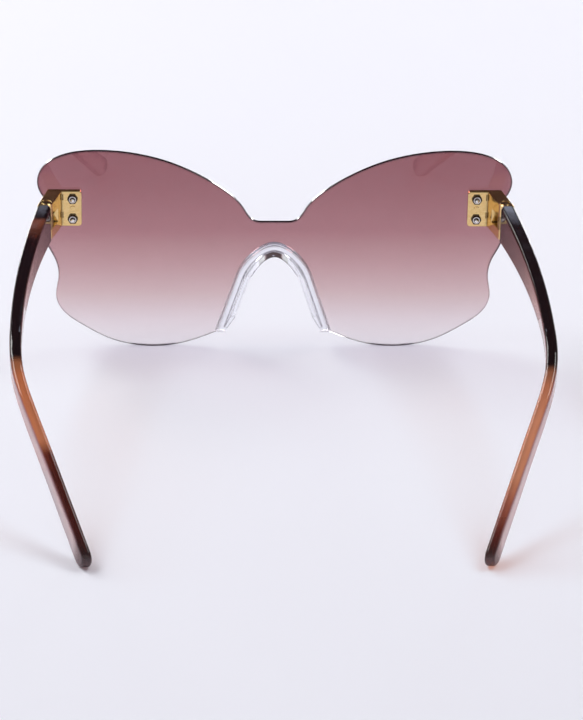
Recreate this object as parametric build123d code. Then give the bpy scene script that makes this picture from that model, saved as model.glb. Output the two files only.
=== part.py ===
from build123d import *
import os
from math import acos, asin, atan2, cos, degrees, hypot, radians, sin, tan

# Sunglasses with one butterfly shield lens, a clear nose piece, gold endpieces and folding temples.
# Millimetres. +X is to the right seen from behind, +Y is forwards, +Z is up.
# The origin lies on the table, midway between the two temples and midway from the front to the rear.

# Shield lens
LENS_WIDTH = 148.0
LENS_HEIGHT = 66.8
LENS_THICKNESS = 1.2
LENS_EDGE_BEVEL = 0.15
BRIDGE_FLAT = 8.6
WING_NOTCH_ROUND = 0.8

# Nose arch cut into the lens
BRIDGE_DEPTH = 7.4
ARCH_CROWN = 10.3
ARCH_SHOULDER = 11.2
ARCH_FLARE = 18.5
ARCH_FOOT = 5.9

# Clear nose piece
NOSE_LIP_REACH = 0.7
NOSE_LIP_THICKNESS = 0.9
NOSE_WALL = 3.2
NOSE_CROWN_DEPTH = 1.9
NOSE_PAD_WALL = 1.7
NOSE_PAD_DEPTH = 5.2
NOSE_PAD_DROP = 9.0
NOSE_PAD_FOOT = 7.0
NOSE_TOE_WALL = 2.4
NOSE_ROUND = 0.4
NOSE_SEAT_GAP = 0.02

# Endpieces
ENDPIECE_HEIGHT = 11.8
FOLD_INSET = 7.6
FLANGE_THICKNESS = 1.8
FLANGE_WIDTH = 6.2
FLANGE_CORNER_ROUND = 1.0
ARM_WIDTH = 4.4
ENDPIECE_BEVEL = 0.2
FOLD_MARK_WIDTH = 0.35
FOLD_MARK_DEPTH = 0.2
FOLD_MARK_LENGTH = 2.0

# Hinges
HINGE_OFFSET = 4.5
HINGE_SETBACK = 10.6
KNUCKLE_RADIUS = 2.1
UPPER_KNUCKLE = 4.0
LOWER_KNUCKLE = 3.3
KNUCKLE_GAP = 0.08
SLOT_SETBACK = 5.6
HINGE_SCREW_RADIUS = 0.75
HINGE_RUNNING_FIT = 0.05
HINGE_HEAD_RADIUS = 1.6
HINGE_HEAD_THICKNESS = 0.95
HINGE_HEAD_BEVEL = 0.15
HINGE_HEAD_CLEARANCE = 0.1
SCREW_SLOT_WIDTH = 0.4
SCREW_SLOT_DEPTH = 0.35
SEAT_CLEARANCE = 0.02

# Lens screws, sleeves, washers and nuts
LENS_SCREW_SPACING = 6.7
LENS_SCREW_INSET = 2.8
LENS_SCREW_RADIUS = 0.65
LENS_HEAD_RADIUS = 1.5
LENS_HEAD_THICKNESS = 0.7
SLEEVE_WALL = 0.4
WASHER_RADIUS = 1.5
WASHER_THICKNESS = 0.25
NUT_ACROSS_FLATS = 2.8
NUT_THICKNESS = 0.7
NUT_DOME_RADIUS = 0.8
NUT_BEVEL = 0.15
PIN_RADIUS = 0.6
PIN_HEAD_RADIUS = 0.9
PIN_HEAD_THICKNESS = 0.2

# Temples
TEMPLE_GAP = 0.3
TEMPLE_OFFSET = 0.4
TEMPLE_FRONT_HEIGHT = 12.0
TEMPLE_WAIST_HEIGHT = 4.9
TEMPLE_TIP_HEIGHT = 6.4
TEMPLE_FRONT_THICKNESS = 4.4
TEMPLE_REAR_THICKNESS = 2.8
TEMPLE_SLOPE = 7.7
BEND_SETBACK = 83.0
BEND_RADIUS = 55.0
BEND_ANGLE = 32.2
BOW_RADIUS = 345.0
BOW_SETBACK = 78.0
HOOK_SETBACK = 90.5
HOOK_RADIUS = 45.0
HOOK_ANGLE = 23.5
TEMPLE_ROUND = 0.9
TEMPLE_MITRE = 1.2
TEMPLE_STATIONS = 16

# Metal insert in the front end of each temple
TONGUE_LENGTH = 7.5
TONGUE_THICKNESS = 1.4
TONGUE_BARB = 0.3
TONGUE_BARBS = 3
NECK_THICKNESS = 2.2
NECK_LENGTH = 1.5

# Every cut runs this far past the material
OVERRUN = 5.0

os.makedirs("parts", exist_ok=True)


# Circle and tangent geometry shared by the hinge arm and the temple
def tangent_point(outside, centre, radius, turn):
    """Point where a line from outside touches a circle; turn picks the side, 1 or -1."""
    across, up = outside[0] - centre[0], outside[1] - centre[1]
    angle = atan2(up, across) + turn * acos(radius / hypot(across, up))
    return (centre[0] + radius * cos(angle), centre[1] + radius * sin(angle))


def on_circle(centre, radius, angle):
    """Point on a circle at an angle in radians."""
    return (centre[0] + radius * cos(angle), centre[1] + radius * sin(angle))


# Heights that follow the lens, as shares of its height, and places across that follow its width
bridge_share = 0.644
endpiece_share = 0.811
bridge_top = bridge_share * LENS_HEIGHT
arch_top = bridge_top - BRIDGE_DEPTH
endpiece_top = endpiece_share * LENS_HEIGHT
endpiece_bottom = endpiece_top - ENDPIECE_HEIGHT
fold_x = LENS_WIDTH / 2 - FOLD_INSET
flange_inner_x = fold_x - FLANGE_WIDTH
hinge_x = fold_x + HINGE_OFFSET

# Side outline of a temple, as distance behind the lens and height above the table
temple_front = HINGE_SETBACK + KNUCKLE_RADIUS + TEMPLE_GAP
tip_radius = TEMPLE_TIP_HEIGHT / 2
slope = radians(TEMPLE_SLOPE)
droop = radians(TEMPLE_SLOPE + BEND_ANGLE)
bend_top = (BEND_SETBACK, endpiece_top - (BEND_SETBACK - temple_front) * tan(slope))
bend_centre = (bend_top[0] - BEND_RADIUS * sin(slope), bend_top[1] - BEND_RADIUS * cos(slope))
bend_middle_radius = BEND_RADIUS - tip_radius
bend_end = on_circle(bend_centre, bend_middle_radius, radians(90) - droop)
tip_centre = (bend_end[0] + (bend_end[1] - tip_radius) / tan(droop), tip_radius)
temple_rear = tip_centre[0] + tip_radius

# Fore and aft places: the lens's rear face is set so that the whole part is centred on the origin
front_reach = LENS_THICKNESS + WASHER_THICKNESS + LENS_HEAD_THICKNESS
lens_back = (temple_rear - front_reach) / 2

# Views that the pieces are drawn in
# In plan, x runs to the right and y is minus the distance behind the lens
# In the side view, x is the distance behind the lens and y is the height
plan_view = Plane(origin=(0, lens_back, 0), x_dir=(1, 0, 0), z_dir=(0, 0, 1))
side_view = Plane(origin=(0, lens_back, 0), x_dir=(0, -1, 0), z_dir=(-1, 0, 0))


def behind_lens(distance):
    """Plane parallel to the lens, this far behind its rear face, facing the rear."""
    return Plane.XZ.offset(distance - lens_back)


def both_sides(name, shape):
    """Exports a right-hand piece and its mirror image."""
    export_step(shape, f"parts/right_{name}.step")
    export_step(mirror(shape, about=Plane.YZ), f"parts/left_{name}.step")


# Shares of the lens's half width and height that its right half passes through, from the bridge outwards
brow_shares = [(0.132, 0.713), (0.212, 0.803), (0.328, 0.884), (0.465, 0.950), (0.639, 0.993), (0.770, 1.0)]
wing_tip_shares = [(0.897, 0.976), (0.974, 0.921), (1.0, 0.849)]
wing_notch_shares = (0.958, 0.745)
side_shares = [(0.977, 0.645), (0.961, 0.524), (0.931, 0.457), (0.916, 0.359), (0.927, 0.258)]
lower_wing_shares = [(0.908, 0.199), (0.819, 0.113), (0.709, 0.043), (0.546, 0.0)]
inner_foot_shares = [(0.392, 0.015), (0.259, 0.068)]


def lens_point(share):
    """Point of the lens outline from its shares of the half width and the height."""
    return (share[0] * LENS_WIDTH / 2, share[1] * LENS_HEIGHT)


# How strongly the crown of the nose arch holds its direction at its top and at its shoulder
arch_pull_shares = (0.8, 1.0)
flare = radians(ARCH_FLARE)


def flank_x(growth, height):
    """Half width of the nose arch at a height on its straight flank, moved outwards by growth."""
    return ARCH_SHOULDER + growth / cos(flare) + (arch_top - ARCH_CROWN - height) * tan(flare)


def arch_region(growth, foot):
    """Area under the nose arch down to foot, with its edge moved outwards by growth."""
    top = (0, arch_top + growth)
    shoulder_height = arch_top - ARCH_CROWN + growth * sin(flare)
    shoulder = (flank_x(growth, shoulder_height), shoulder_height)
    flank_foot = (flank_x(growth, foot), foot)
    headings = [(1, 0), (sin(flare), -cos(flare))]
    half = make_face([
        Line((0, foot), top),
        Spline(top, shoulder, tangents=headings, tangent_scalars=arch_pull_shares),
        Line(shoulder, flank_foot),
        Line(flank_foot, (0, foot)),
    ])
    return half + mirror(half, about=Plane.YZ)


# Heights of the two stamped marks beside the fold, as shares of the endpiece's height
fold_mark_shares = [0.835, 0.33]

# Places of the lens fixings on the right-hand side
fixing_x = flange_inner_x + LENS_SCREW_INSET
flange_middle = endpiece_top - ENDPIECE_HEIGHT / 2
screw_heights = [flange_middle - LENS_SCREW_SPACING / 2, flange_middle + LENS_SCREW_SPACING / 2]
screw_hole_radius = LENS_SCREW_RADIUS + SEAT_CLEARANCE
sleeve_radius = screw_hole_radius + SLEEVE_WALL

# How much of a lens screw's head is rounded over
head_round_share = 0.8


def at_fixing(height, distance):
    """Plane on a fixing's axis, this far behind the lens's rear face, facing the rear."""
    return behind_lens(distance) * Pos(fixing_x, height)


def rod(plane, radius, length):
    """Round bar that starts on a plane and runs along its normal."""
    return extrude(plane * Circle(radius), length)


def lens_shield():
    """Flat shield lens with its bridge, wings, nose arch and fixing holes."""
    bridge_corner = (BRIDGE_FLAT / 2, bridge_top)
    brow = [lens_point(share) for share in brow_shares]
    tip = [lens_point(share) for share in wing_tip_shares]
    notch = lens_point(wing_notch_shares)
    side = [lens_point(share) for share in side_shares]
    lower = [lens_point(share) for share in lower_wing_shares]
    foot = [lens_point(share) for share in inner_foot_shares]
    edges = [
        Line((0, bridge_top), bridge_corner),
        Spline(bridge_corner, *brow, *tip, notch, tangents=[(1, 0), (-1, -1)]),
        Spline(notch, *side, *lower, *foot, (0, 2 * ARCH_FOOT)),
        Line((0, 2 * ARCH_FOOT), (0, bridge_top)),
    ]
    half = make_face(edges)
    corner = half.vertices().sort_by_distance((*notch, 0))[0]
    half = fillet(corner, WING_NOTCH_ROUND)
    half = Pos(0, -half.bounding_box().min.Y) * half
    outline = half + mirror(half, about=Plane.YZ) - arch_region(0, -OVERRUN)
    lens = extrude(behind_lens(-LENS_THICKNESS) * outline, LENS_THICKNESS)
    rims = lens.faces().sort_by(Axis.Y)
    lens = chamfer([*rims[0].edges(), *rims[-1].edges()], LENS_EDGE_BEVEL)
    for side in (1, -1):
        holes = [(height, sleeve_radius + SEAT_CLEARANCE) for height in screw_heights]
        holes.append((flange_middle, PIN_RADIUS + SEAT_CLEARANCE))
        for height, radius in holes:
            start = behind_lens(-LENS_THICKNESS - OVERRUN) * Pos(side * fixing_x, height)
            lens -= rod(start, radius, LENS_THICKNESS + 2 * OVERRUN)
    return lens


def rounded_strip(region, start, end):
    """Strip round the nose arch between two distances behind the lens, with its rear rims rounded."""
    strip = extrude(behind_lens(start) * region, end - start)
    foot_top = ARCH_FOOT + NOSE_LIP_THICKNESS
    rims = [edge for edge in strip.faces().sort_by(Axis.Y)[0].edges() if edge.center().Z > foot_top]
    return fillet(rims, NOSE_ROUND)


def nose_piece():
    """Clear saddle cemented into the nose arch: a lip on the lens's rear face, and a pad down each side."""
    toe_top = ARCH_FOOT + NOSE_PAD_FOOT
    toe = make_face(Polyline(
        (0, ARCH_FOOT),
        (0, toe_top),
        (flank_x(-NOSE_WALL, toe_top), toe_top),
        (flank_x(-NOSE_TOE_WALL, ARCH_FOOT), ARCH_FOOT),
        close=True,
    ))
    opening = arch_region(-NOSE_WALL, -OVERRUN) + toe + mirror(toe, about=Plane.YZ)
    web = rounded_strip(arch_region(-NOSE_SEAT_GAP, ARCH_FOOT) - opening, -LENS_THICKNESS, NOSE_CROWN_DEPTH)
    middle = arch_region(-NOSE_WALL / 2, -OVERRUN)
    lip = rounded_strip(arch_region(NOSE_LIP_REACH, ARCH_FOOT) - middle, NOSE_SEAT_GAP, NOSE_LIP_THICKNESS)
    pad_wall = arch_region(NOSE_PAD_WALL - NOSE_WALL, ARCH_FOOT) - opening
    pads = rounded_strip(pad_wall, 0, NOSE_PAD_DEPTH)
    pad_profile = Polyline(
        (0, arch_top),
        (NOSE_CROWN_DEPTH, arch_top),
        (NOSE_PAD_DEPTH, arch_top - NOSE_PAD_DROP),
        (NOSE_PAD_DEPTH, toe_top),
        (NOSE_LIP_THICKNESS, ARCH_FOOT),
        (0, ARCH_FOOT),
        close=True,
    )
    return web + lip + (pads & extrude(side_view * make_face(pad_profile), LENS_WIDTH, both=True))


# Places along the hinge
slot_top = endpiece_top - UPPER_KNUCKLE
slot_bottom = endpiece_bottom + LOWER_KNUCKLE
tongue_bottom = slot_bottom + KNUCKLE_GAP
tongue_height = slot_top - KNUCKLE_GAP - tongue_bottom
hinge = (hinge_x, -HINGE_SETBACK)
arm_rear = -HINGE_SETBACK - KNUCKLE_RADIUS
hinge_bore = HINGE_SCREW_RADIUS + HINGE_RUNNING_FIT
head_seat_height = endpiece_top - HINGE_HEAD_THICKNESS

# The temple's middle surface in plan: a long outward bow, then a hook towards the head
temple_front_x = hinge_x + TEMPLE_OFFSET
front_heading = asin((BOW_SETBACK - temple_front) / BOW_RADIUS)
bow_centre = (temple_front_x - BOW_RADIUS * cos(front_heading), -BOW_SETBACK)
temple_outer_x = temple_front_x + TEMPLE_FRONT_THICKNESS / 2


def at_hinge(height):
    """Plane across the hinge axis at a height, facing up."""
    return plan_view * Pos(hinge_x, -HINGE_SETBACK, height)


def endpiece():
    """Flange on the lens, arm to the rear, and the upper and lower hinge knuckles."""
    fold = (fold_x, -FLANGE_THICKNESS)
    knuckle_start = tangent_point(fold, hinge, KNUCKLE_RADIUS, 1)
    knuckle_end = (hinge_x, arm_rear)
    outline = Polyline(
        knuckle_end,
        (temple_outer_x, arm_rear),
        (fold_x + ARM_WIDTH, 0),
        (flange_inner_x, 0),
        (flange_inner_x, -FLANGE_THICKNESS),
        fold,
        knuckle_start,
    )
    corner = on_circle(hinge, KNUCKLE_RADIUS, radians(225))
    knuckle = ThreePointArc(knuckle_start, corner, knuckle_end)
    plan = make_face([*outline.edges(), knuckle])
    body = extrude(plan_view * Pos(0, 0, endpiece_bottom) * plan, ENDPIECE_HEIGHT)
    inner_corners = body.edges().filter_by(Axis.Y).group_by(Axis.X)[0]
    body = fillet(inner_corners, FLANGE_CORNER_ROUND)
    ends = body.faces().filter_by(Axis.Z)
    body = chamfer([*ends[0].edges(), *ends[-1].edges()], ENDPIECE_BEVEL)
    slot = Box(
        4 * KNUCKLE_RADIUS + OVERRUN,
        HINGE_SETBACK - SLOT_SETBACK + KNUCKLE_RADIUS + OVERRUN,
        slot_top - slot_bottom,
        align=(Align.CENTER, Align.MAX, Align.MIN),
    )
    body -= plan_view * Pos(hinge_x, -SLOT_SETBACK, slot_bottom) * slot
    tight_bore = HINGE_SCREW_RADIUS + SEAT_CLEARANCE
    body -= rod(at_hinge(endpiece_bottom - OVERRUN), tight_bore, ENDPIECE_HEIGHT)
    body -= rod(at_hinge(slot_top - OVERRUN), hinge_bore, UPPER_KNUCKLE + OVERRUN)
    head_seat = HINGE_HEAD_RADIUS + HINGE_HEAD_CLEARANCE
    body -= rod(at_hinge(head_seat_height), head_seat, HINGE_HEAD_THICKNESS + OVERRUN)
    for height in screw_heights:
        body -= rod(at_fixing(height, -OVERRUN), LENS_SCREW_RADIUS + SEAT_CLEARANCE, 2 * OVERRUN)
    body -= rod(at_fixing(flange_middle, -OVERRUN), PIN_RADIUS + SEAT_CLEARANCE, 2 * OVERRUN)
    for share in fold_mark_shares:
        mark = Box(FOLD_MARK_WIDTH, 2 * FOLD_MARK_DEPTH, FOLD_MARK_LENGTH)
        height = endpiece_bottom + share * ENDPIECE_HEIGHT
        body -= plan_view * Pos(fold_x - FOLD_MARK_WIDTH, -FLANGE_THICKNESS, height) * mark
    return body


def hinge_screw():
    """Slotted screw down the hinge, its head flush with the top of the endpiece."""
    screw = rod(at_hinge(endpiece_bottom), HINGE_SCREW_RADIUS, ENDPIECE_HEIGHT)
    head = rod(at_hinge(head_seat_height), HINGE_HEAD_RADIUS, HINGE_HEAD_THICKNESS)
    screw += chamfer(head.edges().sort_by(Axis.Z)[-1], HINGE_HEAD_BEVEL)
    slot = Box(4 * HINGE_HEAD_RADIUS, SCREW_SLOT_WIDTH, 2 * SCREW_SLOT_DEPTH)
    return screw - plan_view * Pos(hinge_x, -HINGE_SETBACK, endpiece_top) * slot


def insert_plan(growth):
    """Plan of the metal insert's neck and barbed tongue, grown by a clearance."""
    front = Pos(temple_front_x, -temple_front) * Rot(0, 0, degrees(front_heading))
    half = TONGUE_THICKNESS / 2 + growth
    pitch = TONGUE_LENGTH / (TONGUE_BARBS + 1)
    right = [(half, 0)]
    for barb in range(1, TONGUE_BARBS + 1):
        right += [(half, -barb * pitch), (half + TONGUE_BARB, -barb * pitch)]
    right.append((half, -TONGUE_LENGTH - growth))
    left = [(-across, along) for across, along in reversed(right)]
    tongue = front * make_face(Polyline(*right, *left, close=True))
    neck_half = NECK_THICKNESS / 2 + growth
    neck_end = -temple_front - NECK_LENGTH - growth
    neck_left, neck_right = hinge_x - neck_half, hinge_x + neck_half
    neck = Polyline(
        (neck_left, -HINGE_SETBACK),
        (neck_left, neck_end),
        (neck_right, neck_end),
        (neck_right, -HINGE_SETBACK),
        close=True,
    )
    return tongue, make_face(neck)


def temple_side():
    """Side outline of a temple, from the hinge to the rounded tip on the table."""
    front_top = (temple_front, endpiece_top)
    front_bottom = (temple_front, endpiece_top - TEMPLE_FRONT_HEIGHT)
    lower_radius = BEND_RADIUS - TEMPLE_WAIST_HEIGHT
    across = radians(90) - droop
    top_bend_end = on_circle(bend_centre, BEND_RADIUS, across)
    tip_top = on_circle(tip_centre, tip_radius, across)
    run, drop = tip_centre[0] - bend_centre[0], tip_centre[1] - bend_centre[1]
    lower_across = atan2(drop, run) + acos((lower_radius + tip_radius) / hypot(run, drop))
    tip_bottom = on_circle(tip_centre, -tip_radius, lower_across)
    lower_bend_end = on_circle(bend_centre, lower_radius, lower_across)
    lower_bend_start = tangent_point(front_bottom, bend_centre, lower_radius, -1)
    forwards = (-sin(lower_across), cos(lower_across))
    return make_face([
        Line(front_top, bend_top),
        TangentArc(bend_top, top_bend_end, tangent=(cos(slope), -sin(slope))),
        Line(top_bend_end, tip_top),
        TangentArc(tip_top, tip_bottom, tangent=(cos(droop), -sin(droop))),
        Line(tip_bottom, lower_bend_end),
        TangentArc(lower_bend_end, lower_bend_start, tangent=forwards),
        Line(lower_bend_start, front_bottom),
        Line(front_bottom, front_top),
    ])


def temple_plan():
    """Ribbon of the temple in plan, which runs past both ends of the side outline."""
    start_angle = degrees(asin((BOW_SETBACK - temple_front + OVERRUN) / BOW_RADIUS))
    end_angle = degrees(asin((BOW_SETBACK - HOOK_SETBACK) / BOW_RADIUS))
    bow = CenterArc(bow_centre, BOW_RADIUS, start_angle, end_angle - start_angle)
    hook = JernArc(bow @ 1, bow % 1, HOOK_RADIUS, -HOOK_ANGLE)
    straight = (temple_rear + OVERRUN + (hook @ 1).Y) / -(hook % 1).Y
    run = Wire([bow, hook, Line(hook @ 1, hook @ 1 + straight * (hook % 1))])
    outer, inner = [], []
    for station in range(TEMPLE_STATIONS + 1):
        share = station / TEMPLE_STATIONS
        half = (TEMPLE_FRONT_THICKNESS + share * (TEMPLE_REAR_THICKNESS - TEMPLE_FRONT_THICKNESS)) / 2
        across = (run % share).rotate(Axis.Z, 90)
        outer.append(run @ share + half * across)
        inner.append(run @ share - half * across)
    return make_face([Spline(*outer), Line(outer[-1], inner[-1]), Spline(*inner), Line(inner[0], outer[0])])


def temple():
    """Tapered plastic temple, bowed in plan, bent down behind the ear and hooked inwards."""
    slab = extrude(side_view * temple_side(), -LENS_WIDTH)
    ribbon = extrude(plan_view * temple_plan(), LENS_HEIGHT)
    body = slab & ribbon
    front_inner = body.faces().sort_by(Axis.Y)[-1].edges().sort_by(Axis.X)[0]
    body = chamfer(front_inner, TEMPLE_MITRE)
    broad_faces = body.faces().sort_by(SortBy.AREA)[-2:]
    mitre_end = lens_back - temple_front - TEMPLE_MITRE
    rims = [edge for face in broad_faces for edge in face.edges() if edge.center().Y < mitre_end]
    body = fillet(rims, TEMPLE_ROUND)
    floor = plan_view * Pos(0, 0, tongue_bottom - SEAT_CLEARANCE)
    for pocket in insert_plan(SEAT_CLEARANCE):
        body -= extrude(floor * pocket, tongue_height + 2 * SEAT_CLEARANCE)
    return body


def temple_insert():
    """Metal middle knuckle with a neck and a barbed tongue, set into the temple's front end."""
    tongue, neck = insert_plan(0)
    insert = extrude(plan_view * Pos(0, 0, tongue_bottom) * tongue, tongue_height)
    insert += extrude(plan_view * Pos(0, 0, tongue_bottom) * neck, tongue_height)
    insert += rod(at_hinge(tongue_bottom), KNUCKLE_RADIUS, tongue_height)
    return insert - rod(at_hinge(tongue_bottom - OVERRUN), hinge_bore, tongue_height + 2 * OVERRUN)


def lens_screws():
    """Two dome-headed screws through the lens and the flange, heads at the front."""
    screws = []
    for height in screw_heights:
        seat = -LENS_THICKNESS - WASHER_THICKNESS
        end = FLANGE_THICKNESS + WASHER_THICKNESS + NUT_THICKNESS
        screw = rod(at_fixing(height, seat), LENS_SCREW_RADIUS, end - seat)
        head = rod(at_fixing(height, seat - LENS_HEAD_THICKNESS), LENS_HEAD_RADIUS, LENS_HEAD_THICKNESS)
        rim = head.edges().filter_by(GeomType.CIRCLE).sort_by(Axis.Y)[-1]
        screws.append(screw + fillet(rim, LENS_HEAD_THICKNESS * head_round_share))
    return Compound(screws)


def rings(start, outer_radius, thickness):
    """One flat ring or tube round each lens screw, starting at a distance behind the lens."""
    pieces = []
    for height in screw_heights:
        ring = rod(at_fixing(height, start), outer_radius, thickness)
        hole = rod(at_fixing(height, start - OVERRUN), screw_hole_radius, thickness + 2 * OVERRUN)
        pieces.append(ring - hole)
    return Compound(pieces)


def lens_nuts():
    """Hexagon nuts with domed ends, on the rear of the flange."""
    nuts = []
    seat = FLANGE_THICKNESS + WASHER_THICKNESS
    for height in screw_heights:
        hexagon = RegularPolygon(NUT_ACROSS_FLATS / 2, 6, major_radius=False)
        nut = extrude(at_fixing(height, seat) * hexagon, NUT_THICKNESS)
        nut = chamfer(nut.faces().sort_by(Axis.Y)[0].edges(), NUT_BEVEL)
        top = at_fixing(height, seat + NUT_THICKNESS)
        nut += top * Sphere(NUT_DOME_RADIUS)
        hole = rod(at_fixing(height, seat - OVERRUN), screw_hole_radius, NUT_THICKNESS + OVERRUN)
        nuts.append(nut - hole)
    return Compound(nuts)


def locating_pin():
    """Gold peg that keeps the endpiece from turning on the lens, its end spread on the flange."""
    front = -LENS_THICKNESS + PIN_HEAD_THICKNESS
    pin = rod(at_fixing(flange_middle, front), PIN_RADIUS, FLANGE_THICKNESS - front)
    return pin + rod(at_fixing(flange_middle, FLANGE_THICKNESS), PIN_HEAD_RADIUS, PIN_HEAD_THICKNESS)


export_step(lens_shield(), "parts/lens_shield.step")
export_step(nose_piece(), "parts/nose_piece.step")
both_sides("endpiece", endpiece())
both_sides("lens_screws", lens_screws())
both_sides("front_washers", rings(-LENS_THICKNESS - WASHER_THICKNESS, WASHER_RADIUS, WASHER_THICKNESS))
both_sides("lens_sleeves", rings(-LENS_THICKNESS, sleeve_radius, LENS_THICKNESS))
both_sides("rear_washers", rings(FLANGE_THICKNESS, WASHER_RADIUS, WASHER_THICKNESS))
both_sides("lens_nuts", lens_nuts())
both_sides("locating_pin", locating_pin())
both_sides("hinge_screw", hinge_screw())
both_sides("temple_insert", temple_insert())
both_sides("temple", temple())
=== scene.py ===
import bpy
import math
from mathutils import Matrix, Vector


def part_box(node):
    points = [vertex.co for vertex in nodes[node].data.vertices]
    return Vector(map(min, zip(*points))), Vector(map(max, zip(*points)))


# Butterfly sunglasses from behind: tinted shield lens, clear nose piece, gold endpieces, brown temples.
# Metres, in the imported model's frame: +X to the right seen from behind, +Y forwards, +Z up.

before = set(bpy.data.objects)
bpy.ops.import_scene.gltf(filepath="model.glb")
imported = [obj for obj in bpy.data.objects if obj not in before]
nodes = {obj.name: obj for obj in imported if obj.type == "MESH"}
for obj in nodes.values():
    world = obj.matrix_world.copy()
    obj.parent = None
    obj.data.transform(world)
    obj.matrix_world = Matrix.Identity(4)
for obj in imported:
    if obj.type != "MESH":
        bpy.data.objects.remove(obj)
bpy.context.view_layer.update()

# Shield lens
# One flat sheet of polished plastic, cut to the butterfly outline and bored for the fixings.
# It is dip dyed mauve brown, deep at the brow and almost clear at the foot.
# Its cut edge carries a dark line of painted shade, paler towards the foot and under the nose piece but for
# its crown, and dark again where it meets the table.
LENS_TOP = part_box("lens_shield")[1].z
LENS_TINT_STOPS = [
    (0.00, (0.93, 0.90, 0.905)),
    (0.14, (0.81, 0.71, 0.72)),
    (0.28, (0.67, 0.49, 0.49)),
    (0.42, (0.55, 0.335, 0.34)),
    (0.60, (0.40, 0.185, 0.20)),
    (0.80, (0.33, 0.135, 0.15)),
    (1.00, (0.28, 0.10, 0.115)),
]
LENS_TINT_OF_EACH_FACE = 0.5
LENS_SHADOW_TINT = (0.80, 0.765, 0.82, 1.0)
LENS_SHADOW_SHARE = 0.7
LENS_EDGE_SHADE = (0.02, 0.012, 0.016, 1.0)
LENS_EDGE_LINE = 0.0009
LENS_SHEET_FACING = 0.95
LENS_CUT_FACING = 0.75
LENS_EDGE_SHADE_UNDER_NOSE = 0.08
LENS_EDGE_AT_CROWN = 0.55
LENS_EDGE_AT_FOOT = 0.2
LENS_FOOT_CONTACT = 0.0012
LENS_FOOT_HEIGHT = 0.018
LENS_DARK_EDGE_HEIGHT = 0.034
NOSE_HALF_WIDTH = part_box("nose_piece")[1].x
NOSE_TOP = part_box("nose_piece")[1].z
NOSE_EDGE_SHADE_LOW = NOSE_TOP - 0.014
NOSE_EDGE_SHADE_HIGH = NOSE_TOP - 0.005
NOSE_OUTLINE_FADE = 0.001


def add_node(tree, kind, inputs=None, **settings):
    """Adds a shader node, sets its settings, and fills or links its inputs."""
    node = tree.nodes.new(kind)
    for name, value in settings.items():
        setattr(node, name, value)
    for name, value in (inputs or {}).items():
        if isinstance(value, bpy.types.NodeSocket):
            tree.links.new(value, node.inputs[name])
        else:
            node.inputs[name].default_value = value
    return node


def new_material(name, **sockets):
    """A material whose Principled shader has these plain values."""
    material = bpy.data.materials.new(name)
    material.use_nodes = True
    tree = material.node_tree
    shader = tree.nodes["Principled BSDF"]
    for socket, value in sockets.items():
        shader.inputs[socket.replace("_", " ")].default_value = value
    return material, tree, shader


def paint(material, *names):
    """Gives CAD nodes this material."""
    for name in names:
        nodes[name].material_slots[0].material = material


def both(name):
    """The left and right node of a paired piece."""
    return f"left_{name}", f"right_{name}"


def blend(tree, factor, first, second, kind="MIX"):
    """Colour between two colours, or the first one multiplied by a share of the second."""
    # A Mix node takes its two colours at inputs 6 and 7, and gives one at output 2.
    colours = {"Factor": factor, 6: first, 7: second}
    return add_node(tree, "ShaderNodeMix", colours, data_type="RGBA", blend_type=kind).outputs[2]


def span(tree, value, low, high, to_low=0.0, to_high=1.0):
    """A value stretched from one range to another and held at its ends."""
    ends = {"From Min": low, "From Max": high, "To Min": to_low, "To Max": to_high}
    return add_node(tree, "ShaderNodeMapRange", {"Value": value, **ends}).outputs[0]


def maths(tree, operation, *values):
    """One sum on one, two or three values."""
    inputs = dict(enumerate(values))
    return add_node(tree, "ShaderNodeMath", inputs, operation=operation).outputs[0]


def place_in(tree, axis=None):
    """The shaded point in the sunglasses' own frame, or one of its coordinates."""
    place = add_node(tree, "ShaderNodeTexCoord").outputs["Object"]
    return add_node(tree, "ShaderNodeSeparateXYZ", {0: place}).outputs[axis] if axis else place


def facing(tree, axis):
    """How squarely the surface faces along an axis, from 0 to 1."""
    normal = add_node(tree, "ShaderNodeTexCoord").outputs["Normal"]
    return maths(tree, "ABSOLUTE", add_node(tree, "ShaderNodeSeparateXYZ", {0: normal}).outputs[axis])


def noise(tree, place, scale, detail):
    """Smooth random values from 0 to 1."""
    inputs = {"Vector": place, "Scale": scale, "Detail": detail}
    return add_node(tree, "ShaderNodeTexNoise", inputs).outputs[0]


def stretched(tree, place, scale, turn=(0.0, 0.0, 0.0)):
    """A place turned and scaled unequally, which draws a texture out into lines."""
    inputs = {"Vector": place, "Rotation": turn, "Scale": scale}
    return add_node(tree, "ShaderNodeMapping", inputs).outputs[0]


def let_lamps_through(tree, shader, tint):
    """Lamps and soft light shine through the piece in this tint, so that its shadow is pale."""
    clear = add_node(tree, "ShaderNodeBsdfTransparent", {"Color": tint}).outputs[0]
    path = add_node(tree, "ShaderNodeLightPath").outputs
    seen = shader.outputs[0]
    for ray in ("Is Shadow Ray", "Is Diffuse Ray"):
        seen = add_node(tree, "ShaderNodeMixShader", {0: path[ray], 1: seen, 2: clear}).outputs[0]
    tree.links.new(seen, tree.nodes["Material Output"].inputs["Surface"])


FLAT_COSINE = 0.995
EDGE_COSINE = 0.92


def near_edge(tree, width):
    """Mask of a strip along the piece's edges, with the rounded normal that made it."""
    rounded = add_node(tree, "ShaderNodeBevel", {"Radius": width}, samples=6).outputs[0]
    flat = add_node(tree, "ShaderNodeNewGeometry").outputs["Normal"]
    turn = add_node(tree, "ShaderNodeVectorMath", {0: rounded, 1: flat}, operation="DOT_PRODUCT")
    return span(tree, turn.outputs["Value"], FLAT_COSINE, EDGE_COSINE), rounded


SMEAR_SCALE = 90.0
SMEAR_THRESHOLDS = 0.45, 0.75
SCRATCH_SCALE = 160.0
SCRATCH_STRETCH = (1.0, 22.0, 22.0)
SCRATCH_TURN = (0.5, 0.7, 0.9)
SCRATCH_THRESHOLDS = 0.66, 0.74
SCRATCH_DEPTH = 0.000001
SCRATCH_STRENGTH = 0.25


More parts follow.
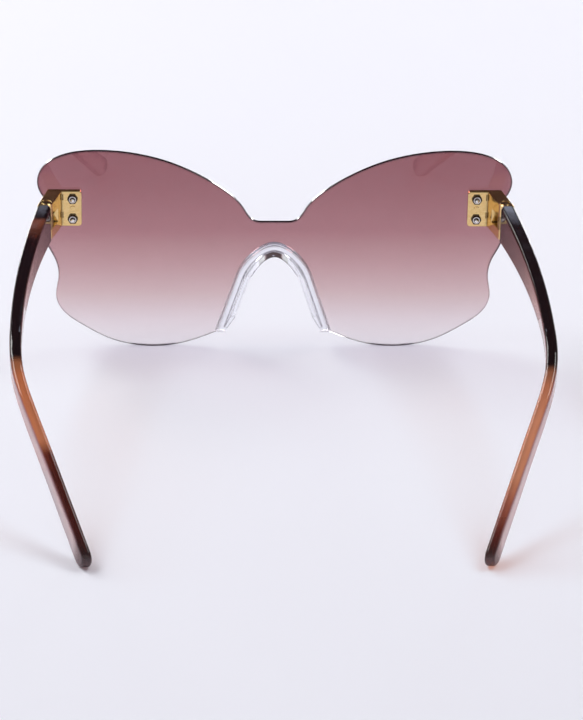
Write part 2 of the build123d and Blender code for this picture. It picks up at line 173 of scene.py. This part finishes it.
def handling_marks_group():
    """Fine scratches and faint smudges: roughness and height for any polished surface."""
    group = bpy.data.node_groups.new("handling_marks", "ShaderNodeTree")
    for name, usual in (("Polish", 0.05), ("Smudge", 0.05), ("Scratch", 0.05), ("Size", 1.0)):
        socket = group.interface.new_socket(name, in_out="INPUT", socket_type="NodeSocketFloat")
        socket.default_value = usual
    for name in ("Roughness", "Height"):
        group.interface.new_socket(name, in_out="OUTPUT", socket_type="NodeSocketFloat")
    given = add_node(group, "NodeGroupInput").outputs
    scale = {0: place_in(group), "Scale": given["Size"]}
    sized = add_node(group, "ShaderNodeVectorMath", scale, operation="SCALE").outputs[0]
    smears = span(group, noise(group, sized, SMEAR_SCALE, detail=4.0), *SMEAR_THRESHOLDS)
    drawn_out = stretched(group, sized, SCRATCH_STRETCH, SCRATCH_TURN)
    scratches = span(group, noise(group, drawn_out, SCRATCH_SCALE, detail=2.0), *SCRATCH_THRESHOLDS)
    smudged = maths(group, "MULTIPLY_ADD", smears, given["Smudge"], given["Polish"])
    rough = maths(group, "MULTIPLY_ADD", scratches, given["Scratch"], smudged)
    add_node(group, "NodeGroupOutput", {"Roughness": rough, "Height": scratches})
    return group


handling_marks = handling_marks_group()


def mark_surface(tree, shader, polish, smudge, scratch, size=1.0):
    """Drives a shader's roughness and a very shallow bump from the handling marks. Gives the roughness."""
    marks = add_node(tree, "ShaderNodeGroup", node_tree=handling_marks)
    for name, value in (("Polish", polish), ("Smudge", smudge), ("Scratch", scratch), ("Size", size)):
        marks.inputs[name].default_value = value
    tree.links.new(marks.outputs["Roughness"], shader.inputs["Roughness"])
    depth = {"Height": marks.outputs["Height"], "Distance": SCRATCH_DEPTH, "Strength": SCRATCH_STRENGTH}
    bump = add_node(tree, "ShaderNodeBump", depth, invert=True)
    tree.links.new(bump.outputs[0], shader.inputs["Normal"])
    return marks.outputs["Roughness"]


def ramp_along(tree, axis, low, high, stops):
    """Colour that changes along an axis between two places."""
    ramp = add_node(tree, "ShaderNodeValToRGB", {0: span(tree, place_in(tree, axis), low, high)})
    while len(ramp.color_ramp.elements) < len(stops):
        ramp.color_ramp.elements.new(1.0)
    for element, (share, colour) in zip(ramp.color_ramp.elements, stops):
        element.position = share
        element.color = (*colour, 1.0)
    return ramp.outputs["Color"]


lens_plastic, tree, shader = new_material("tinted_lens", IOR=1.49, Transmission_Weight=1.0)
height = place_in(tree, "Z")
tint = ramp_along(tree, "Z", 0.0, LENS_TOP, LENS_TINT_STOPS)
# Painted shade: the cut faces and a thin strip beside them are coloured dark, less under the nose piece and
# at the foot, more at the crown and the table.
edge_line = near_edge(tree, LENS_EDGE_LINE)[0]
cut_face = span(tree, facing(tree, "Y"), LENS_SHEET_FACING, LENS_CUT_FACING)
edge_shade = maths(tree, "MAXIMUM", cut_face, edge_line)
sideways = maths(tree, "ABSOLUTE", place_in(tree, "X"))
beside_arch = span(tree, sideways, NOSE_HALF_WIDTH, NOSE_HALF_WIDTH + NOSE_OUTLINE_FADE)
above_arch = span(tree, height, NOSE_TOP, NOSE_TOP + NOSE_OUTLINE_FADE)
outside_arch = maths(tree, "MAXIMUM", beside_arch, above_arch)
arch_shares = LENS_EDGE_SHADE_UNDER_NOSE, LENS_EDGE_AT_CROWN
arch_edge_shade = span(tree, height, NOSE_EDGE_SHADE_LOW, NOSE_EDGE_SHADE_HIGH, *arch_shares)
edge_shade = maths(tree, "MULTIPLY", edge_shade, maths(tree, "MAXIMUM", outside_arch, arch_edge_shade))
upwards = span(tree, height, LENS_FOOT_HEIGHT, LENS_DARK_EDGE_HEIGHT, LENS_EDGE_AT_FOOT, 1.0)
table_contact_shade = span(tree, height, LENS_FOOT_CONTACT, LENS_FOOT_CONTACT / 2)
edge_shade = maths(tree, "MULTIPLY", edge_shade, maths(tree, "MAXIMUM", upwards, table_contact_shade))
dye_and_edge_shade = blend(tree, edge_shade, tint, LENS_EDGE_SHADE)
tree.links.new(dye_and_edge_shade, shader.inputs["Base Color"])
mark_surface(tree, shader, polish=0.012, smudge=0.03, scratch=0.05)
half_tint = {"Color": dye_and_edge_shade, "Gamma": LENS_TINT_OF_EACH_FACE}
each_face = add_node(tree, "ShaderNodeGamma", half_tint).outputs[0]
let_lamps_through(tree, shader, blend(tree, LENS_SHADOW_SHARE, each_face, LENS_SHADOW_TINT))
paint(lens_plastic, "lens_shield")

# Clear nose piece
# One saddle of clear flexible plastic, moulded in one shot and cemented into the nose arch.
# Its walls are polished and the ends of its feet are matt.
# Its rear corners carry thin dark grey lines of painted shade, standing in for the dark of the room seen in
# them, and its crown a crescent of painted shade.
LENS_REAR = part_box("lens_shield")[0].y
NOSE_CLEAR = (0.93, 0.93, 0.96, 1.0)
NOSE_SHADOW = (0.80, 0.80, 0.84, 1.0)
NOSE_CORNER_SHADE = (0.05, 0.04, 0.06, 1.0)
NOSE_CORNER_LINE = 0.0007
NOSE_CORNERS_START = LENS_REAR - 0.0006
NOSE_CORNERS_FULL = LENS_REAR - 0.0014
NOSE_CROWN_SHADE = (0.26, 0.21, 0.27, 1.0)
NOSE_CROWN_SHARE = 0.7
NOSE_CROWN_FACING = 0.68, 0.86
NOSE_CROWN_FOOT = NOSE_TOP - 0.010
NOSE_CROWN_FADE = 0.002
NOSE_FOOT_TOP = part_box("nose_piece")[0].z + 0.002
NOSE_FOOT_FADE = 0.001
NOSE_FOOT_FACING = 0.5, 0.8
NOSE_FOOT_ROUGHNESS = 0.7
clear_plastic, tree, shader = new_material("clear_silicone", IOR=1.46, Transmission_Weight=1.0)
height = place_in(tree, "Z")
upright_facing = facing(tree, "Z")
behind_lens = span(tree, place_in(tree, "Y"), NOSE_CORNERS_START, NOSE_CORNERS_FULL)
# Painted shade: dark lines along the rear corners and a dark crescent on the upward faces of the crown.
painted_corner = maths(tree, "MULTIPLY", near_edge(tree, NOSE_CORNER_LINE)[0], behind_lens)
crown_shade = maths(tree, "MULTIPLY", span(tree, upright_facing, *NOSE_CROWN_FACING), NOSE_CROWN_SHARE)
high_up = span(tree, height, NOSE_CROWN_FOOT, NOSE_CROWN_FOOT + NOSE_CROWN_FADE)
crown_shade = maths(tree, "MULTIPLY", crown_shade, high_up)
clear_with_crown_shade = blend(tree, crown_shade, NOSE_CLEAR, NOSE_CROWN_SHADE)
tree.links.new(blend(tree, painted_corner, clear_with_crown_shade, NOSE_CORNER_SHADE), shader.inputs["Base Color"])
marked = mark_surface(tree, shader, polish=0.02, smudge=0.04, scratch=0.03, size=2.0)
low_down = span(tree, height, NOSE_FOOT_TOP + NOSE_FOOT_FADE, NOSE_FOOT_TOP)
foot = maths(tree, "MULTIPLY", span(tree, upright_facing, *NOSE_FOOT_FACING), low_down)
rough = maths(tree, "MULTIPLY_ADD", foot, NOSE_FOOT_ROUGHNESS, marked)
tree.links.new(rough, shader.inputs["Roughness"])
let_lamps_through(tree, shader, NOSE_SHADOW)
paint(clear_plastic, "nose_piece")

# Screw sleeves
# Short turned tubes of clear nylon, two at each end of the lens, one round each lens screw.
# They line the lens's holes, so that no screw touches the lens.
SLEEVE_CLEAR = (0.9, 0.88, 0.86, 1.0)
SLEEVE_SHADOW = (0.92, 0.92, 0.92, 1.0)
sleeve_plastic, tree, shader = new_material("clear_plastic", IOR=1.5, Transmission_Weight=1.0)
shader.inputs["Base Color"].default_value = SLEEVE_CLEAR
mark_surface(tree, shader, polish=0.12, smudge=0.05, scratch=0.02, size=4.0)
let_lamps_through(tree, shader, SLEEVE_SHADOW)
paint(sleeve_plastic, *both("lens_sleeves"))

# Endpieces, locating pins and temple inserts
# Nickel silver, stamped and folded, with the knuckles milled and the whole plated bright gold.
# The plating keeps a faint grain from the brush on the flats; its corners are painted brighter as a
# highlight and its crevices carry painted shade.
# The lens lies tight on each flange, so a ray that leaves it starts inside the metal, which is given a
# painted brown glow there.
GOLD_DEEP = (0.70, 0.44, 0.15)
GOLD_BRIGHT = (0.95, 0.76, 0.40)
GOLD_CREVICE_SHADE = (0.07, 0.03, 0.015, 1.0)
GOLD_GLOW_BEHIND_LENS = (0.32, 0.12, 0.05, 1.0)
GOLD_CORNER_RADIUS = 0.00012
GOLD_CREVICE = 0.0010
GOLD_OPEN_SKY = 0.50, 0.90
GOLD_GRAIN_SCALE = 900.0
GOLD_GRAIN_STRETCH = (1.0, 1.0, 14.0)
GOLD_GRAIN_TONES = 0.3, 0.7
GOLD_GRAIN_ROUGHNESS = 0.12
GOLD_GRAIN_DEPTH = 0.000004
GOLD_GRAIN_STRENGTH = 0.5
GOLD_SPECKLE_SCALE = 2600.0
GOLD_SPECKLE_TONES = 0.3, 0.6
GOLD_SPECKLE_DEEP = 0.5
NO_LIGHT = (0.0, 0.0, 0.0, 1.0)


def gold_finish(name, polish, shade=1.0):
    """Bright gold plate: brushed flats, a painted highlight on the corners, painted shade in crevices, a
    painted brown glow from inside, and a few handling marks.
    """
    material, tree, shader = new_material(name, Metallic=1.0, Emission_Strength=1.0)
    drawn_out = stretched(tree, place_in(tree), GOLD_GRAIN_STRETCH)
    grain = noise(tree, drawn_out, GOLD_GRAIN_SCALE, detail=5.0)
    speckle = noise(tree, place_in(tree), GOLD_SPECKLE_SCALE, detail=2.0)
    speckle = span(tree, speckle, *GOLD_SPECKLE_TONES, GOLD_SPECKLE_DEEP, 1.0)
    # Painted highlight: the corners take the bright gold colour.
    painted_corner, rounded = near_edge(tree, GOLD_CORNER_RADIUS)
    tone = maths(tree, "MULTIPLY", span(tree, grain, *GOLD_GRAIN_TONES), speckle)
    deep = (*[channel * shade for channel in GOLD_DEEP], 1.0)
    bright = (*[channel * shade for channel in GOLD_BRIGHT], 1.0)
    plate = blend(tree, maths(tree, "MAXIMUM", tone, painted_corner), deep, bright)
    # Painted shade: crevices close to other parts darken towards the crevice shade colour.
    reach = {"Distance": GOLD_CREVICE}
    crevice = add_node(tree, "ShaderNodeAmbientOcclusion", reach, samples=8, only_local=True)
    openness = span(tree, crevice.outputs["AO"], *GOLD_OPEN_SKY)
    tree.links.new(blend(tree, openness, GOLD_CREVICE_SHADE, plate), shader.inputs["Base Color"])
    # Painted glow: seen from inside, the metal gives off brown light.
    inside = add_node(tree, "ShaderNodeNewGeometry").outputs["Backfacing"]
    painted_glow_from_inside = blend(tree, inside, NO_LIGHT, GOLD_GLOW_BEHIND_LENS)
    tree.links.new(painted_glow_from_inside, shader.inputs["Emission Color"])
    marked = mark_surface(tree, shader, polish, smudge=0.08, scratch=0.1, size=4.0)
    rough = maths(tree, "MULTIPLY_ADD", grain, GOLD_GRAIN_ROUGHNESS, marked)
    tree.links.new(rough, shader.inputs["Roughness"])
    depth = {"Height": grain, "Distance": GOLD_GRAIN_DEPTH, "Strength": GOLD_GRAIN_STRENGTH}
    relief = add_node(tree, "ShaderNodeBump", {**depth, "Normal": rounded})
    tree.links.new(relief.outputs[0], shader.inputs["Normal"])
    return material


gold_plate = gold_finish("gold_plate", polish=0.08)
paint(gold_plate, *both("endpiece"), *both("locating_pin"))
dull_gold = gold_finish("dull_gold", polish=0.16, shade=0.55)
paint(dull_gold, *both("temple_insert"))

# Lens screws, front washers and hinge screws
# Small turned screws: domed ones on thin washers through the lens, and a slotted one in each hinge.
# They have the same plating as the endpieces, burnished a little brighter by the driver.
screw_gold = gold_finish("screw_gold", polish=0.05)
paint(screw_gold, *both("lens_screws"), *both("front_washers"), *both("hinge_screw"))

# Nuts on the flanges
# Hexagon nuts of bright nickel plated steel with domed ends, two on each flange, screwed on from behind.
# They carry painted shade on the rim and in the groove round each dome, and are bright where a tool has
# rubbed.
NUT_LOW, NUT_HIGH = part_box("right_lens_nuts")
NUT_SPACING = 0.0067
NUT_GROOVE = 0.00074
NUT_GROOVE_WIDTHS = 0.00018, 0.0001
NUT_RIM = 0.00102
NUT_RIM_FADE = 0.0001
NUT_STEEL = (0.80, 0.77, 0.74, 1.0)
NUT_RUBBED = (0.97, 0.95, 0.93, 1.0)
NUT_SHADE = (0.05, 0.03, 0.03, 1.0)
bright_steel, tree, shader = new_material("bright_steel", Metallic=1.0)
grain = noise(tree, place_in(tree), scale=2500.0, detail=4.0)
steel = blend(tree, grain, NUT_STEEL, NUT_RUBBED)
sideways = maths(tree, "ABSOLUTE", place_in(tree, "X"))
beside = maths(tree, "SUBTRACT", sideways, (NUT_LOW.x + NUT_HIGH.x) / 2)
from_middle = maths(tree, "SUBTRACT", place_in(tree, "Z"), (NUT_LOW.z + NUT_HIGH.z) / 2)
above = maths(tree, "SUBTRACT", maths(tree, "ABSOLUTE", from_middle), NUT_SPACING / 2)
squares = maths(tree, "MULTIPLY_ADD", beside, beside, maths(tree, "MULTIPLY", above, above))
from_axis = maths(tree, "SQRT", squares)
# Painted shade: a dark ring in the groove round each dome and round the outer rim.
off_groove = maths(tree, "ABSOLUTE", maths(tree, "SUBTRACT", from_axis, NUT_GROOVE))
in_groove = span(tree, off_groove, *NUT_GROOVE_WIDTHS)
on_rim = span(tree, from_axis, NUT_RIM, NUT_RIM + NUT_RIM_FADE)
painted_nut_shade = maths(tree, "MAXIMUM", in_groove, on_rim)
tree.links.new(blend(tree, painted_nut_shade, steel, NUT_SHADE), shader.inputs["Base Color"])
mark_surface(tree, shader, polish=0.18, smudge=0.08, scratch=0.1, size=6.0)
paint(bright_steel, *both("lens_nuts"))

# Rear washers
# Thin flat rings of black rubbery plastic, punched from sheet.
# They lie between the nuts and the gold flange, matt and a little uneven in tone.
WASHER_BLACK = (0.02, 0.014, 0.012, 1.0)
WASHER_WORN = (0.05, 0.035, 0.03, 1.0)
washer_plastic, tree, shader = new_material("dark_washer", Specular_IOR_Level=0.4)
grain = noise(tree, place_in(tree), scale=1800.0, detail=3.0)
tree.links.new(blend(tree, grain, WASHER_BLACK, WASHER_WORN), shader.inputs["Base Color"])
mark_surface(tree, shader, polish=0.45, smudge=0.1, scratch=0.1, size=6.0)
paint(washer_plastic, *both("rear_washers"))

# Temples
# Translucent brown plastic, milled from sheet, tumbled to a gloss and bent hot over the ear.
# The dye darkens thick parts, and the tops and bottoms are painted along their length with an amber glow
# and a near black shade; the amber lies further back on the right one.
# The sides are painted pale in the middle and dark at the ends, with painted shade on their upper shoulder,
# and the left one has a painted red glow over its insert.
TEMPLE_LOW, TEMPLE_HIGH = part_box("right_temple")
TEMPLE_MIDDLE_FADE = 0.01
TEMPLE_DYE = (0.86, 0.60, 0.36, 1.0)
TEMPLE_DYE_DENSITY = 250.0
TEMPLE_EDGE_SHADE = (0.014, 0.008, 0.011)
LEFT_EDGE_GLOW_AND_SHADE_STOPS = [
    (0.00, (0.035, 0.022, 0.024)),
    (0.04, (0.07, 0.012, 0.012)),
    (0.18, (0.09, 0.014, 0.010)),
    (0.205, (0.74, 0.30, 0.15)),
    (0.25, (0.74, 0.29, 0.14)),
    (0.365, (0.58, 0.20, 0.09)),
    (0.385, TEMPLE_EDGE_SHADE),
]
RIGHT_EDGE_GLOW_AND_SHADE_STOPS = [
    (0.00, (0.035, 0.022, 0.024)),
    (0.04, (0.12, 0.022, 0.018)),
    (0.09, (0.44, 0.15, 0.10)),
    (0.14, (0.80, 0.38, 0.22)),
    (0.24, (0.84, 0.39, 0.23)),
    (0.34, (0.52, 0.19, 0.10)),
    (0.36, TEMPLE_EDGE_SHADE),
]
TEMPLE_EDGE_FACING = 0.35, 0.7
TEMPLE_SIDE_LIGHT_AND_SHADE_STOPS = [
    (0.00, (0.10, 0.06, 0.07)),
    (0.02, (0.20, 0.13, 0.15)),
    (0.045, (0.98, 0.84, 0.88)),
    (0.30, (0.98, 0.84, 0.88)),
    (0.62, (0.52, 0.30, 0.25)),
    (0.80, (0.13, 0.062, 0.055)),
    (1.00, (0.05, 0.03, 0.035)),
]
TEMPLE_SHOULDER = 0.0034
TEMPLE_SHOULDER_RISE = 0.42
TEMPLE_SHOULDER_SHADE = (0.42, 0.28, 0.32, 1.0)
TEMPLE_GLOW = (0.34, 0.10, 0.055, 1.0)
TEMPLE_GLOW_START = 0.007
TEMPLE_GLOW_FULL = 0.009
TEMPLE_GLOW_END = 0.020
TEMPLE_SHADOW = (0.90, 0.85, 0.87, 1.0)
TEMPLE_TIP_LENGTH = 0.03
LEFT_TIP_SHADOW = (0.34, 0.27, 0.31, 1.0)
RIGHT_TIP_SHADOW = (0.78, 0.56, 0.48, 1.0)
temple_plastic, tree, shader = new_material("temple_plastic", IOR=1.5, Transmission_Weight=0.5)
lengthwise = place_in(tree, "Y")
on_left = span(tree, place_in(tree, "X"), TEMPLE_MIDDLE_FADE, -TEMPLE_MIDDLE_FADE)
# Painted glow and shade: the tops and bottoms run dark at the tip, amber behind the bend and near black
# towards the hinge.
left_lit_edge = ramp_along(tree, "Y", TEMPLE_LOW.y, TEMPLE_HIGH.y, LEFT_EDGE_GLOW_AND_SHADE_STOPS)
right_lit_edge = ramp_along(tree, "Y", TEMPLE_LOW.y, TEMPLE_HIGH.y, RIGHT_EDGE_GLOW_AND_SHADE_STOPS)
lit_and_shaded_edge = blend(tree, on_left, right_lit_edge, left_lit_edge)
# Painted red glow on the left temple only, just behind the hinge.
from_hinge = maths(tree, "SUBTRACT", TEMPLE_HIGH.y, lengthwise)
begun = span(tree, from_hinge, TEMPLE_GLOW_START, TEMPLE_GLOW_FULL)
fading = span(tree, from_hinge, TEMPLE_GLOW_FULL, TEMPLE_GLOW_END, 1.0, 0.0)
glow = maths(tree, "MULTIPLY", maths(tree, "MULTIPLY", begun, fading), on_left)
lit_and_shaded_edge = blend(tree, glow, lit_and_shaded_edge, TEMPLE_GLOW)
# Painted light and shade: the sides are dark at the tip, pale in the middle and dark towards the hinge.
lit_and_shaded_side = ramp_along(tree, "Y", TEMPLE_LOW.y, TEMPLE_HIGH.y, TEMPLE_SIDE_LIGHT_AND_SHADE_STOPS)
# Painted shade on the upper shoulder of the sides.
rounded = near_edge(tree, TEMPLE_SHOULDER)[1]
rising = add_node(tree, "ShaderNodeSeparateXYZ", {0: rounded}).outputs["Z"]
shoulder_shade = span(tree, rising, 0.0, TEMPLE_SHOULDER_RISE)
lit_and_shaded_side = blend(tree, shoulder_shade, lit_and_shaded_side, TEMPLE_SHOULDER_SHADE, "MULTIPLY")
on_top = span(tree, facing(tree, "Z"), *TEMPLE_EDGE_FACING)
tree.links.new(blend(tree, on_top, lit_and_shaded_side, lit_and_shaded_edge), shader.inputs["Base Color"])
mark_surface(tree, shader, polish=0.03, smudge=0.06, scratch=0.06, size=1.5)
depth_of_dye = {"Color": TEMPLE_DYE, "Density": TEMPLE_DYE_DENSITY}
dye = add_node(tree, "ShaderNodeVolumeAbsorption", depth_of_dye)
tree.links.new(dye.outputs[0], tree.nodes["Material Output"].inputs["Volume"])
tip_shadow = blend(tree, on_left, RIGHT_TIP_SHADOW, LEFT_TIP_SHADOW)
from_tip = span(tree, lengthwise, TEMPLE_LOW.y, TEMPLE_LOW.y + TEMPLE_TIP_LENGTH)
let_lamps_through(tree, shader, blend(tree, from_tip, tip_shadow, TEMPLE_SHADOW))
paint(temple_plastic, *both("temple"))

# Table
# A sheet of smooth white paper under the sunglasses, a little uneven, with a trace of fibre.
# Far off, where the lamps fade, it has a pale tone of its own, for the camera and for metal and glass.
TABLE_HALF_WIDTH = 3.0
TABLE_DROP = 0.00002
TABLE_COLOUR = (0.875, 0.880, 0.955, 1.0)
TABLE_WORN = 0.985
TABLE_FIBRE_DEPTH = 0.00002
TABLE_FIBRE_STRENGTH = 0.15
TABLE_FAR_FROM = 0.95
TABLE_FAR_TO = 2.1
TABLE_FAR_TONE = (0.62, 0.62, 0.68, 1.0)
table_mesh = bpy.data.meshes.new("table")
half = TABLE_HALF_WIDTH
corners = [(-half, -half), (half, -half), (half, half), (-half, half)]
table_mesh.from_pydata([(x, y, -TABLE_DROP) for x, y in corners], [], [(0, 1, 2, 3)])
table = bpy.data.objects.new("table", table_mesh)
bpy.context.collection.objects.link(table)
paper, tree, shader = new_material("white_paper", Roughness=0.7, Specular_IOR_Level=0.25)
blotch = noise(tree, place_in(tree), scale=9.0, detail=3.0)
worn = (*[channel * TABLE_WORN for channel in TABLE_COLOUR[:3]], 1.0)
tree.links.new(blend(tree, blotch, TABLE_COLOUR, worn), shader.inputs["Base Color"])
fibre = noise(tree, place_in(tree), scale=1500.0, detail=4.0)
depth = {"Height": fibre, "Distance": TABLE_FIBRE_DEPTH, "Strength": TABLE_FIBRE_STRENGTH}
tree.links.new(add_node(tree, "ShaderNodeBump", depth).outputs[0], shader.inputs["Normal"])
spot = {0: place_in(tree)}
from_middle = add_node(tree, "ShaderNodeVectorMath", spot, operation="LENGTH").outputs["Value"]
far_off = span(tree, from_middle, TABLE_FAR_FROM, TABLE_FAR_TO)
path = add_node(tree, "ShaderNodeLightPath").outputs
by_metal_and_glass = maths(tree, "MAXIMUM", path["Is Glossy Ray"], path["Is Transmission Ray"])
only_seen = maths(tree, "MAXIMUM", path["Is Camera Ray"], by_metal_and_glass)
far_off = maths(tree, "MULTIPLY", far_off, only_seen)
tree.links.new(blend(tree, far_off, NO_LIGHT, TABLE_FAR_TONE), shader.inputs["Emission Color"])
shader.inputs["Emission Strength"].default_value = 1.0
table_mesh.materials.append(paper)

# Light
# A broad soft window stands ahead on the left, with a pale ceiling panel on each side.
# Beyond the lens, two low panels draw lines on the temples, and two small high ones lay grey patches.
# The room is dark, but for a low band all round and a wall behind the camera that the gold reflects.
LIGHT_AIM = Vector((0, 0, 0.03))
WINDOW_WHITE = (1.0, 0.995, 0.98)
CEILING_WHITE = (0.98, 0.99, 1.0)
PLAIN_WHITE = (1.0, 1.0, 1.0)
COOL_GREY = (0.75, 0.80, 1.0)
ROOM_LIGHT = 0.60
ROOM_DARK = 0.12
ROOM_COLOUR = (0.985, 0.99, 1.0, 1.0)
GAP_DARK = 0.06
GAP_COLOUR = (1.0, 0.5, 0.58, 1.0)
AHEAD_START = -0.1
AHEAD_FULL = 0.2
AHEAD_WALL_FULL = 0.20
AHEAD_WALL_END = 0.30
BAND_FULL = 0.08
BAND_END = 0.16
BEHIND_START = -0.75
BEHIND_FULL = -0.85


def soft_light(name, place, width, height, watts, colour):
    """Soft rectangular panel aimed at the middle of the sunglasses."""
    lamp = bpy.data.lights.new(name, "AREA")
    lamp.shape = "RECTANGLE"
    lamp.size = width
    lamp.size_y = height
    lamp.energy = watts
    lamp.color = colour
    panel = bpy.data.objects.new(name, lamp)
    bpy.context.collection.objects.link(panel)
    panel.location = place
    aim = LIGHT_AIM - Vector(place)
    panel.rotation_euler = aim.to_track_quat("-Z", "Y").to_euler()


soft_light("window", (-1.2, 1.36, 1.52), 0.88, 0.88, 16.5, WINDOW_WHITE)
soft_light("ceiling_left", (-0.8, 0.24, 1.43), 1.1, 0.6, 11.7, CEILING_WHITE)
soft_light("ceiling_right", (0.8, 0.24, 1.43), 1.1, 0.6, 10.2, CEILING_WHITE)
soft_light("low_left", (-0.55, 1.3, 0.17), 0.36, 0.20, 2.7, PLAIN_WHITE)
soft_light("low_right", (0.55, 1.3, 0.17), 0.36, 0.20, 2.7, PLAIN_WHITE)
soft_light("high_left", (-0.115, 1.2, 0.938), 0.22, 0.045, 0.14, COOL_GREY)
soft_light("high_right", (0.2, 1.2, 0.92), 0.22, 0.08, 0.17, COOL_GREY)

world = bpy.data.worlds.new("pale_room")
bpy.context.scene.world = world
world.use_nodes = True
tree = world.node_tree
direction = add_node(tree, "ShaderNodeTexCoord").outputs["Generated"]
heading = add_node(tree, "ShaderNodeSeparateXYZ", {0: direction}).outputs
ahead_of_camera = span(tree, heading["Y"], AHEAD_START, AHEAD_FULL)
over_wall = span(tree, heading["Z"], AHEAD_WALL_FULL, AHEAD_WALL_END)
gap = maths(tree, "MULTIPLY", over_wall, ahead_of_camera)
unlit = span(tree, gap, 0.0, 1.0, ROOM_DARK, GAP_DARK)
on_wall = span(tree, heading["Z"], AHEAD_WALL_END, AHEAD_WALL_FULL)
low_ahead = maths(tree, "MULTIPLY", on_wall, ahead_of_camera)
low_band = maths(tree, "MAXIMUM", low_ahead, span(tree, heading["Z"], BAND_END, BAND_FULL))
lit = maths(tree, "MAXIMUM", low_band, span(tree, heading["Y"], BEHIND_START, BEHIND_FULL))
strength = maths(tree, "MULTIPLY_ADD", lit, ROOM_LIGHT, unlit)
tree.links.new(blend(tree, gap, ROOM_COLOUR, GAP_COLOUR), tree.nodes["Background"].inputs["Color"])
tree.links.new(strength, tree.nodes["Background"].inputs["Strength"])

# Camera
# On the wearer's side and a little to the left, looking down on the lens through a long lens.
# Its place, tilt, yaw, roll and focal length were fitted to the outlines in the photo.
CAMERA_PLACE = (-0.0352, -0.85025, 0.4448)
CAMERA_DOWN = math.radians(26.0)
CAMERA_YAW = math.radians(2.568)
CAMERA_ROLL = math.radians(1.123)
CAMERA_FOCAL_MM = 160.5
CAMERA_NEAREST = 0.01
level = Vector((math.cos(CAMERA_YAW), -math.sin(CAMERA_YAW), 0.0))
forwards = Vector((math.sin(CAMERA_YAW), math.cos(CAMERA_YAW), 0.0))
ahead = forwards * math.cos(CAMERA_DOWN) - Vector((0.0, 0.0, math.sin(CAMERA_DOWN)))
upward = level.cross(ahead)
across = level * math.cos(CAMERA_ROLL) + upward * math.sin(CAMERA_ROLL)
upright = upward * math.cos(CAMERA_ROLL) - level * math.sin(CAMERA_ROLL)
turned = Matrix((across, upright, -ahead)).transposed().to_4x4()
lens_data = bpy.data.cameras.new("camera")
lens_data.lens = CAMERA_FOCAL_MM
lens_data.clip_start = CAMERA_NEAREST
camera = bpy.data.objects.new("camera", lens_data)
bpy.context.collection.objects.link(camera)
camera.matrix_world = Matrix.Translation(CAMERA_PLACE) @ turned
bpy.context.scene.camera = camera
bpy.context.scene.view_settings.view_transform = "Standard"
